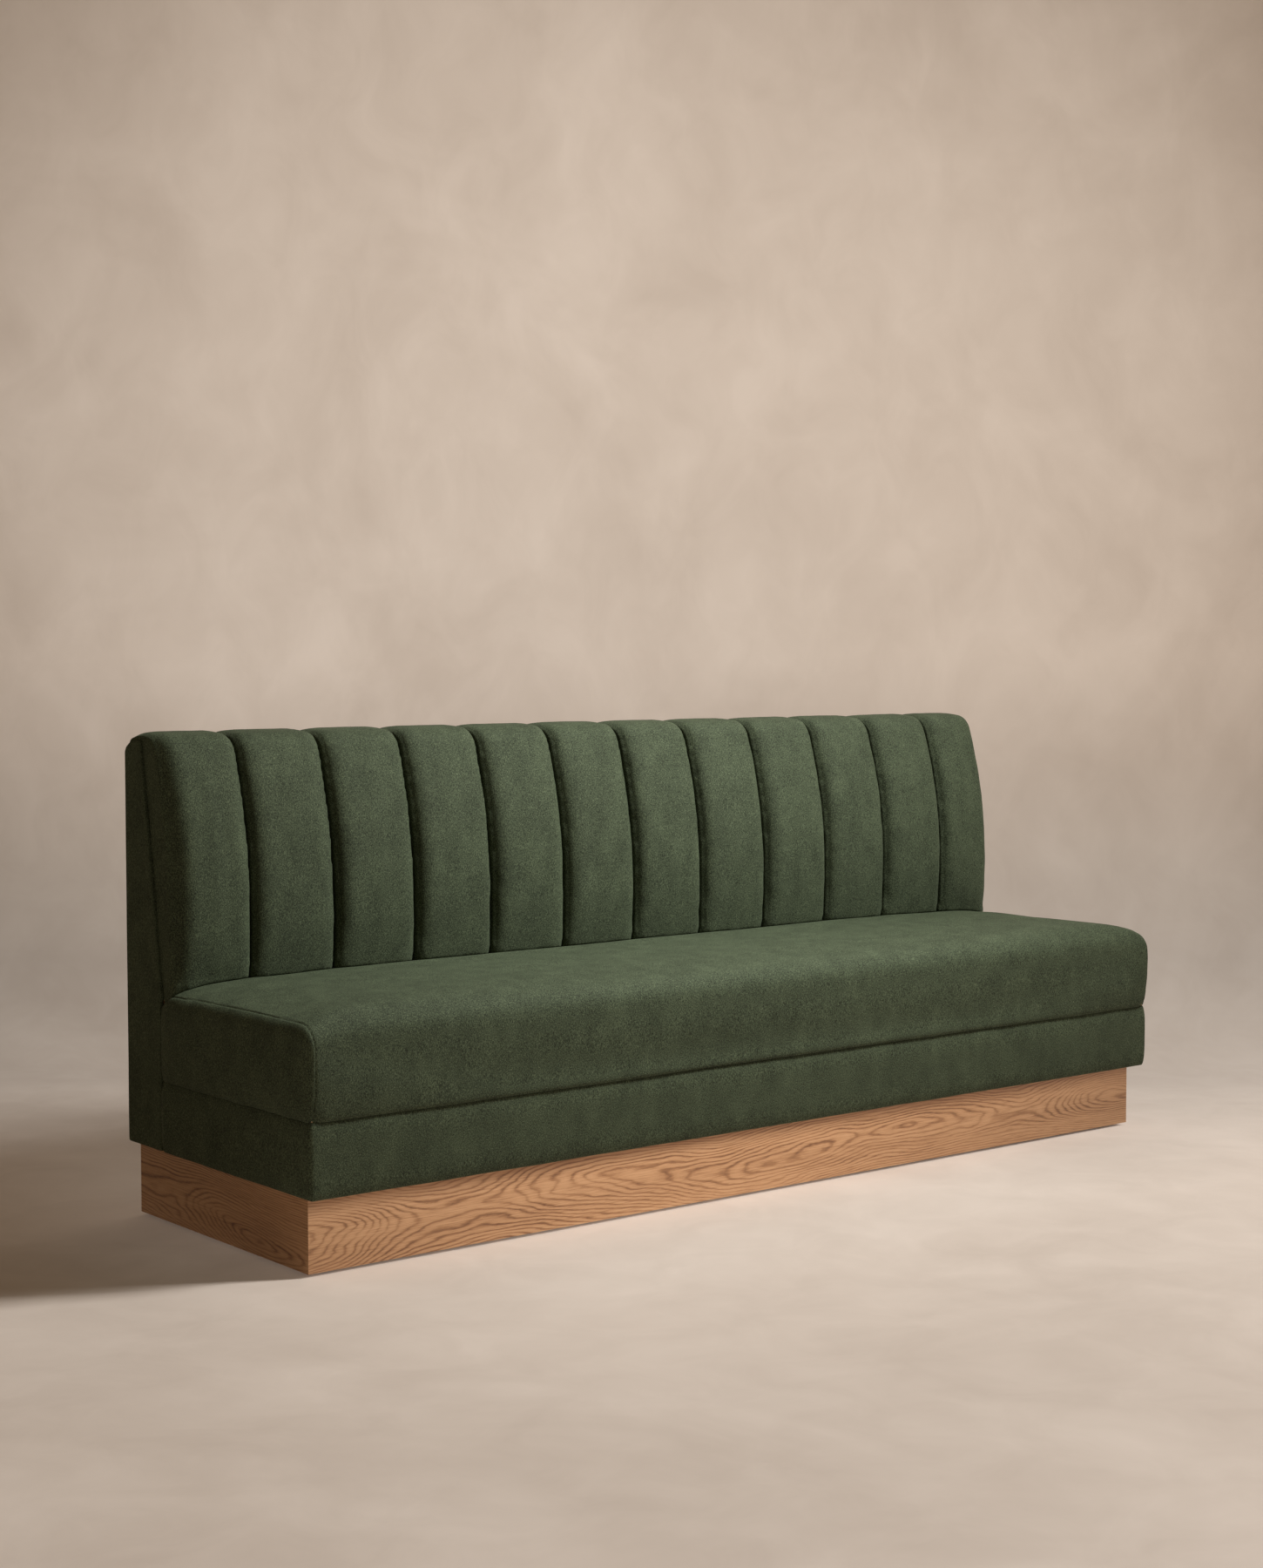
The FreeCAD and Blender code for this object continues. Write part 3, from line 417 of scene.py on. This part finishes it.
finish_nodes(turned_metal("spring_steel", (0.30, 0.30, 0.32), 0.42, 500.0),
             "seat_springs", "spring_clips")
finish_nodes(loose_fill("needled_felt", (0.40, 0.38, 0.35), (0.22, 0.21, 0.20), 260.0, 0.002),
             "spring_pad")
finish_nodes(loose_fill("pale_foam", (0.83, 0.79, 0.62), (0.70, 0.65, 0.48), 420.0, 0.001),
             "seat_foam")

# Seat cushion
# A crowned cover of olive green wool felt over wadding and foam, sewn to an end panel at each end,
# with plain seams that pull the ends in.


def wool_felt(name, nap):
    """Milled wool cloth: short fibres that lie along the nap, clouded tones and a soft bloom."""
    finish, tree, shader = new_finish(name, Roughness=0.82, Sheen_Weight=0.06, Sheen_Roughness=0.5,
                                      Sheen_Tint=(0.40, 0.50, 0.34, 1.0), Specular_IOR_Level=0.16)
    nap_place = stretched(tree, nap)
    fibres = cloudy(tree, nap_place, 1300.0, 2.0, 0.6)
    flecks = cloudy(tree, nap_place, 620.0, 1.0, 0.5)
    clouds = cloudy(tree, stretched(tree, (1.0, 1.0, 0.6)), 24.0, 2.0, 0.6)
    share = weighted(tree, (fibres, 0.42), (flecks, 0.46), (clouds, 0.12))
    wool = tones(tree, share, [(0.38, (0.0150, 0.0196, 0.0114)), (0.50, (0.0440, 0.0572, 0.0336)),
                               (0.62, (0.1000, 0.1280, 0.0750))])
    tree.links.new(wool, shader.inputs["Base Color"])
    add_relief(tree, shader, share, 0.45, 0.0009)
    return finish


felt_up_the_front = wool_felt("wool_felt_front", (1.0, 0.65, 0.65))
felt_up_the_sides = wool_felt("wool_felt_side", (1.0, 1.0, 0.65))


def shown(name, mesh):
    """Puts a mesh in the scene as a piece of the bench."""
    piece = bpy.data.objects.new(name, mesh)
    bpy.context.scene.collection.objects.link(piece)
    return piece


def outer_skin(nodes, fills=()):
    """Merged copies of fitted parts' shapes, with each hollow filled from a low to a high corner."""
    shape = bmesh.new()
    for node in nodes:
        shape.from_mesh(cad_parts[node].data)
    bmesh.ops.remove_doubles(shape, verts=shape.verts, dist=0.00002)
    for low, high in fills:
        block = bmesh.ops.create_cube(shape, size=1.0)["verts"]
        bmesh.ops.scale(shape, vec=Vector(high) - Vector(low), verts=block)
        bmesh.ops.translate(shape, vec=(Vector(high) + Vector(low)) / 2, verts=block)
    mesh = bpy.data.meshes.new(nodes[0] + "_skin")
    shape.to_mesh(mesh)
    shape.free()
    return mesh


def recut(piece, cell):
    """Cuts the cover's surface into even cells."""
    cutter = piece.modifiers.new("cells", "REMESH")
    cutter.mode = "VOXEL"
    cutter.voxel_size = cell
    bpy.context.view_layer.update()
    graph = bpy.context.evaluated_depsgraph_get()
    mesh = bpy.data.meshes.new_from_object(piece.evaluated_get(graph))
    piece.modifiers.clear()
    piece.data = mesh
    return piece


def table_of(mesh, key):
    """The vertices' places or normals as a table."""
    table = np.zeros(len(mesh.vertices) * 3, np.float32)
    mesh.vertices.foreach_get(key, table)
    return table.reshape(-1, 3).astype(float)


def set_points(mesh, points):
    """Moves the vertices to the places in a table."""
    mesh.vertices.foreach_set("co", points.astype(np.float32).ravel())
    mesh.update()


def rounded_off(piece, rounds, past=0.0):
    """Eases the stair steps that cutting leaves, beyond a place along the bench if past is given."""
    shape = bmesh.new()
    shape.from_mesh(piece.data)
    eased = [vert for vert in shape.verts if abs(vert.co.x) >= past]
    for _ in range(rounds):
        bmesh.ops.smooth_vert(shape, verts=eased, factor=0.5,
                              use_axis_x=True, use_axis_y=True, use_axis_z=True)
    shape.to_mesh(piece.data)
    shape.free()
    piece.data.update()


def pressed(piece, planes):
    """Lays cloth that comes within reach of a plane flat on it, as its neighbour does."""
    points = table_of(piece.data, "co")
    for foot, normal, reach in planes:
        normal = np.array(normal) / np.linalg.norm(normal)
        away = (points - np.array(foot)) @ normal
        near = np.abs(away) < reach
        points[near] -= away[near, None] * normal
    set_points(piece.data, points)


def drawn(piece, seams, gather, stir, seed):
    """Gathers the cloth in small puckers beside its seams and stirs the rest a little."""
    pucker_reach, flat_strip = 0.020, 0.004
    broad, fine = 9.0, 34.0
    points = table_of(piece.data, "co")
    normals = table_of(piece.data, "normal")
    shift = np.zeros(len(points))
    away = np.full(len(points), 1.0)
    for axis, level in seams:
        away = np.minimum(away, np.abs(points[:, axis] - level))
    near = np.exp(-np.square(away / pucker_reach)) * np.clip(away / flat_strip, 0.0, 1.0)
    for index, point in enumerate(points):
        at = Vector(point) + Vector((seed, 0.3 * seed, 0.7 * seed))
        shift[index] = stir * noise.noise(at * broad)
        if near[index] > 0.02:
            shift[index] += gather * near[index] * noise.noise(at * fine)
    set_points(piece.data, points + normals * shift[:, None])


def evened(mesh, shift, still, rounds):
    """Spreads a shift of the cloth over its neighbouring cells, except where it is sewn down."""
    ends = np.zeros(len(mesh.edges) * 2, np.int32)
    mesh.edges.foreach_get("vertices", ends)
    first, second = ends.reshape(-1, 2).T
    beside = np.bincount(ends, minlength=len(mesh.vertices))[:, None]
    for _ in range(rounds):
        total = np.zeros_like(shift)
        np.add.at(total, first, shift[second])
        np.add.at(total, second, shift[first])
        shift = (shift + total / beside) / 2
        shift[still] = 0.0
    return shift


def plumped(piece, loose, slack, push, most, rounds):
    """Takes the cover in by its slack, then lets its filling push it out where it isn't sewn down."""
    slack_from_seam, moments = 0.035, 20
    full = table_of(piece.data, "co")
    free = loose(full)
    taken_in = slack * np.clip(free / slack_from_seam, 0.0, 1.0)
    start = full - table_of(piece.data, "normal") * taken_in[:, None]
    set_points(piece.data, start)
    held = piece.vertex_groups.new(name="sewn")
    held.add([int(index) for index in np.nonzero(free <= 0.0)[0]], 1.0, "REPLACE")
    cloth = piece.modifiers.new("cloth", "CLOTH")
    cloth.settings.quality = 4
    cloth.settings.mass = 0.25
    cloth.settings.tension_stiffness = 12.0
    cloth.settings.compression_stiffness = 6.0
    cloth.settings.shear_stiffness = 4.0
    cloth.settings.bending_stiffness = 15.0
    cloth.settings.use_pressure = True
    cloth.settings.uniform_pressure_force = push
    cloth.settings.vertex_group_mass = "sewn"
    cloth.settings.effector_weights.gravity = 0.0
    cloth.collision_settings.use_collision = False
    cloth.point_cache.frame_start = 1
    cloth.point_cache.frame_end = moments
    for moment in range(1, moments + 1):
        bpy.context.scene.frame_set(moment)
    graph = bpy.context.evaluated_depsgraph_get()
    moved = table_of(piece.evaluated_get(graph).data, "co") - start
    piece.modifiers.clear()
    piece.vertex_groups.clear()
    bpy.context.scene.frame_set(1)
    reach = np.maximum(np.linalg.norm(moved, axis=1), 1e-9)
    moved *= np.minimum(1.0, most / reach)[:, None]
    set_points(piece.data, full + evened(piece.data, start + moved - full, free <= 0.0, rounds))


def seamed(piece, level, width, depth):
    """Sinks a line of stitching across the cover at a level along the bench."""
    on_cut, on_line = 0.0002, 0.00025
    shape = bmesh.new()
    shape.from_mesh(piece.data)
    for cut in (level - width / 2, level, level + width / 2):
        bmesh.ops.bisect_plane(shape, geom=shape.verts[:] + shape.edges[:] + shape.faces[:],
                               plane_co=(cut, 0, 0), plane_no=(1, 0, 0), dist=on_cut)
    shape.normal_update()
    line = [(vert, vert.normal.copy()) for vert in shape.verts
            if abs(vert.co.x - level) < on_line]
    for vert, normal in line:
        vert.co -= depth * normal
    shape.to_mesh(piece.data)
    shape.free()
    piece.data.update()


def upholster(piece, finish, nodes, light, soften=True):
    """Finishes a padded piece and hands it over in place of its fitted parts."""
    piece.data.materials.clear()
    piece.data.materials.append(finish)
    piece.data.shade_smooth()
    if soften:
        finer = piece.modifiers.new("smooth_cloth", "SUBSURF")
        finer.levels = 1
        finer.render_levels = 1
    light.light_linking.receiver_collection.objects.link(piece)
    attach(piece, "bench")
    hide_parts(*nodes)


SEAT_CELL = 0.0082
END_ROUNDING = 1.043
HAIR = 0.0001
LAP = 0.001
SEAM_HALF = 0.004
low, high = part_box("seat_cover")
end_low, end_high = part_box("seat_end_panel_right")
foam_low, foam_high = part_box("seat_foam")
rail_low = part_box("seat_rail_front")[0]
fills = [((low.x + HAIR, rail_low.y - LAP, low.z), (high.x - HAIR, high.y, foam_low.z + LAP)),
         (foam_low - Vector((LAP, LAP, LAP)), foam_high + Vector((LAP, LAP, LAP)))]
for seam in (low.x, high.x):
    fills.append(((seam - SEAM_HALF, end_low.y + 0.04, low.z + 0.004),
                  (seam + SEAM_HALF, end_high.y - 0.01, end_high.z - 0.05)))
seat_nodes = ["seat_cover", "seat_end_panel_left", "seat_end_panel_right"]
seat_cushion = recut(shown("seat_cushion", outer_skin(seat_nodes, fills)), SEAT_CELL)
rounded_off(seat_cushion, 3)
rounded_off(seat_cushion, 6, past=END_ROUNDING)
plumped(seat_cushion, lambda points: np.minimum.reduce(
    [points[:, 2] - low.z - 0.010, high.y - 0.02 - points[:, 1],
     np.abs(np.abs(points[:, 0]) - high.x) - 0.006]), slack=0.003, push=4.5, most=0.008, rounds=16)
pressed(seat_cushion, [((0, 0, low.z + HAIR), (0, 0, 1), 0.009),
                       ((0, high.y - HAIR, 0), (0, 1, 0), 0.012)])
for seam in (low.x, high.x):
    seamed(seat_cushion, seam, width=0.006, depth=0.0022)
drawn(seat_cushion, [(0, low.x), (0, high.x)], gather=0.0016, stir=0.0012, seed=3.1)
upholster(seat_cushion, felt_up_the_front, seat_nodes, seat_light)

# Back channels
# Twelve flutes of felt over foam strips, sewn side by side, drawn down between each other in deep
# creases and carried over the top of the back.

FLUTE_CELL = 0.0057
BOARD_THICK = 0.009
END_FLUTES = (1, 12)
COPIED_FLUTE = 2


def creased(piece, edges, foot, normal, depth, opening):
    """Draws the flanks of a flute in at its seams, more and more from the board to the front."""
    flank = 0.012
    points = table_of(piece.data, "co")
    normal = np.array(normal) / np.linalg.norm(normal)
    lift = np.clip(-((points - np.array(foot)) @ normal) / depth, 0.0, 1.0)
    for edge, inward in edges:
        near = np.clip(1.0 - np.abs(points[:, 0] - edge) / flank, 0.0, 1.0)
        points[:, 0] += inward * opening * near * lift
    set_points(piece.data, points)


def tucked(piece, seat, level, corner):
    """Carries the lower edge of a flute down onto the rolled rear edge of the seat."""
    surface = BVHTree.FromObject(seat, bpy.context.evaluated_depsgraph_get())
    points = table_of(piece.data, "co")
    normals = table_of(piece.data, "normal")
    stop = corner.y - 0.001
    hem, missed = level + 0.025, level - 0.024
    outer = (np.abs(points[:, 0]) > corner.x - 0.014) & (points[:, 1] < stop + 0.022)
    share = np.clip((hem - points[:, 2]) / 0.020, 0.0, 1.0) * outer
    points[:, 1] -= share * np.clip(points[:, 1] - stop + 0.004, 0.0, None)
    beside = np.abs(points[:, 0]) > corner.x - 0.009
    outwards = np.sign(points[:, 0]) * (corner.x + 0.0018) - points[:, 0]
    points[:, 0] += share * beside * outwards
    under = (points[:, 2] < level + 0.026) & (normals[:, 2] < -0.35) | (share > 0.9)
    for index in np.nonzero(under)[0]:
        point = points[index]
        over = Vector((point[0], min(point[1], stop), level + 0.040))
        found = surface.ray_cast(over, Vector((0.0, 0.0, -1.0)), 0.09)[0]
        if found:
            point[:] = point[0], min(point[1], stop), found.z + 0.0004
        elif outer[index]:
            point[2] = missed
    set_points(piece.data, points)


seat_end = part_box("seat_cover")[1]
board_low, board_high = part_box("back_board")
slant_foot = (0.0, board_low.y, board_low.z)
slant_rise = (board_high.y - board_low.y - BOARD_THICK) / (board_high.z - board_low.z)
slant_normal = (0.0, 1.0, -slant_rise)
bpy.context.view_layer.update()
middle_flute = None
for number in range(1, 13):
    node = f"back_channel_{number:02d}"
    low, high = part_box(node)
    planes = [((low.x + HAIR, 0, 0), (1, 0, 0), 0.005), ((high.x - HAIR, 0, 0), (1, 0, 0), 0.005),
              (slant_foot, slant_normal, 0.005)]
    if number in (*END_FLUTES, COPIED_FLUTE):
        flute = recut(shown(f"flute_{number:02d}", outer_skin([node])), FLUTE_CELL)
        rounded_off(flute, 2)
        left, right, rear, foot = low.x + 0.004, high.x - 0.004, high.y - 0.02, low.z + 0.008
        plumped(flute, lambda points: np.minimum.reduce(
            [points[:, 0] - left, right - points[:, 0], rear - points[:, 1], points[:, 2] - foot,
             slant_foot[1] - 0.006 + slant_rise * (points[:, 2] - slant_foot[2]) - points[:, 1]]),
                slack=0.002, push=4.5, most=0.009, rounds=10)
        if number == COPIED_FLUTE:
            middle_flute = (flute.data.copy(), low.x)
    else:
        flute = shown(f"flute_{number:02d}", middle_flute[0].copy())
        set_points(flute.data, table_of(flute.data, "co") + (low.x - middle_flute[1], 0.0, 0.0))
    pressed(flute, planes)
    seams = [(low.x, 1.0)] * (number > 1) + [(high.x, -1.0)] * (number < 12)
    creased(flute, seams, slant_foot, slant_normal, depth=0.050, opening=0.0028)
    tucked(flute, seat_cushion, low.z, seat_end)
    drawn(flute, [(0, low.x), (0, high.x)], gather=0.0016, stir=0.0010, seed=7.0 + 1.37 * number)
    upholster(flute, felt_up_the_front, [node], back_light)

# Apron
# One strip of felt over thin wadding, wrapped round the front and the ends of the seat frame under
# the cushion's seam, with its edges rolled over soft welts.


def padded_strip():
    """The strip's rolled section, swept round three sides of the seat frame."""
    low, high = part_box("apron_front")
    side_low, side_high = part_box("apron_left")
    thick = side_high.x - side_low.x
    turn, cell, rows = 0.0015, 0.011, 28
    half_rise = (high.z - low.z) / 2 + 0.0015
    middle = (high.z + low.z) / 2
    shape = bmesh.new()
    ring = [shape.verts.new((side_high.x, side_high.y, middle - half_rise))]
    for row in range(rows + 1):
        share = math.sin(math.pi * (row / rows - 0.5))
        bulge = thick * math.sqrt(max(0.0, 1.0 - abs(share) ** 3.5))
        ring.append(shape.verts.new((side_high.x - 0.0004 - bulge * 0.94, side_high.y,
                                     middle + half_rise * share)))
    ring.append(shape.verts.new((side_high.x, side_high.y, middle + half_rise)))
    loop = ring + [shape.edges.new(pair) for pair in zip(ring, ring[1:] + ring[:1])]
    first_cap = list(ring)
    front_inner = low.y + thick
    legs = (
        ((0, -1, 0), side_high.y - front_inner - turn, (side_high.x + turn, front_inner + turn)),
        ((1, 0, 0), (high.x - low.x) - 2 * thick - 2 * turn,
         (-side_high.x - turn, front_inner + turn)),
        ((0, 1, 0), side_high.y - front_inner - turn, None),
    )
    for heading_to, length, corner in legs:
        steps = round(length / cell)
        loop = bmesh.ops.spin(shape, geom=loop, axis=(0, 0, 1), angle=0.0, steps=steps,
                              cent=(0, 0, 0), dvec=Vector(heading_to) * length / steps,
                              use_duplicate=False)["geom_last"]
        if corner:
            loop = bmesh.ops.spin(shape, geom=loop, axis=(0, 0, 1), angle=math.pi / 2, steps=6,
                                  cent=(*corner, 0), use_duplicate=False)["geom_last"]
    last_cap = [item for item in loop if isinstance(item, bmesh.types.BMVert)]
    bmesh.ops.contextual_create(shape, geom=first_cap)
    bmesh.ops.contextual_create(shape, geom=last_cap)
    bmesh.ops.recalc_face_normals(shape, faces=shape.faces)
    mesh = bpy.data.meshes.new("apron_strip")
    shape.to_mesh(mesh)
    shape.free()
    return mesh


apron_strip = shown("apron_strip", padded_strip())
drawn(apron_strip, [(2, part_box("apron_front")[1].z)], gather=0.0008, stir=0.0007, seed=2.2)
upholster(apron_strip, felt_up_the_front, ["apron_front", "apron_left", "apron_right"],
          seat_light, soften=False)

# Side panels and outside back
# Thin felt-covered panels fixed to the frame last, which close the ends and the rear of the back.
# The rear one is a stretched cloth over a thin board.

PANEL_CELL = 0.0027
for side, inner in (("left", -1), ("right", 1)):
    node = f"back_side_panel_{side}"
    low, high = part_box(node)
    contact = high.x if side == "left" else low.x
    panel = recut(shown(f"side_panel_{side}", outer_skin([node])), PANEL_CELL)
    rounded_off(panel, 5)
    pressed(panel, [((contact + HAIR * inner, 0, 0), (1, 0, 0), 0.0025),
                    ((0.0, board_low.y - 0.003, board_low.z), slant_normal, 0.006),
                    ((0, low.y, 0), (0, 1, 0), 0.0025)])
    drawn(panel, [], gather=0.0, stir=0.0005, seed=4.4)
    upholster(panel, felt_up_the_sides, [node], back_light, soften=False)


def stretched_cloth_panel():
    """A thin panel with eased edges, cut into an even grid of cells."""
    low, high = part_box("outside_back")
    inset, long_cells, tall_cells = 0.0004, 120, 40
    shape = bmesh.new()
    bmesh.ops.create_cube(shape, size=1.0)
    size = high - low
    bmesh.ops.scale(shape, vec=size - Vector((inset, inset, inset)), verts=shape.verts)
    bmesh.ops.translate(shape, vec=(high + low) / 2, verts=shape.verts)
    rim = [edge for edge in shape.edges if max(vert.co.y for vert in edge.verts) > low.y + 0.001]
    bmesh.ops.bevel(shape, geom=rim, offset=0.002, offset_type="OFFSET", affect="EDGES", segments=3,
                    profile=0.5, material=-1)
    for axis, count in ((0, long_cells), (2, tall_cells)):
        for cut in range(1, count):
            centre = Vector((0, 0, 0))
            centre[axis] = low[axis] + size[axis] * cut / count
            normal = Vector((0, 0, 0))
            normal[axis] = 1.0
            bmesh.ops.bisect_plane(shape, geom=shape.verts[:] + shape.edges[:] + shape.faces[:],
                                   plane_co=centre, plane_no=normal)
    bmesh.ops.recalc_face_normals(shape, faces=shape.faces)
    mesh = bpy.data.meshes.new("outside_back_cloth")
    shape.to_mesh(mesh)
    shape.free()
    return mesh


rear_cloth = shown("outside_back_cloth", stretched_cloth_panel())
drawn(rear_cloth, [], gather=0.0, stir=0.0005, seed=6.1)
upholster(rear_cloth, felt_up_the_sides, ["outside_back"], back_light, soften=False)
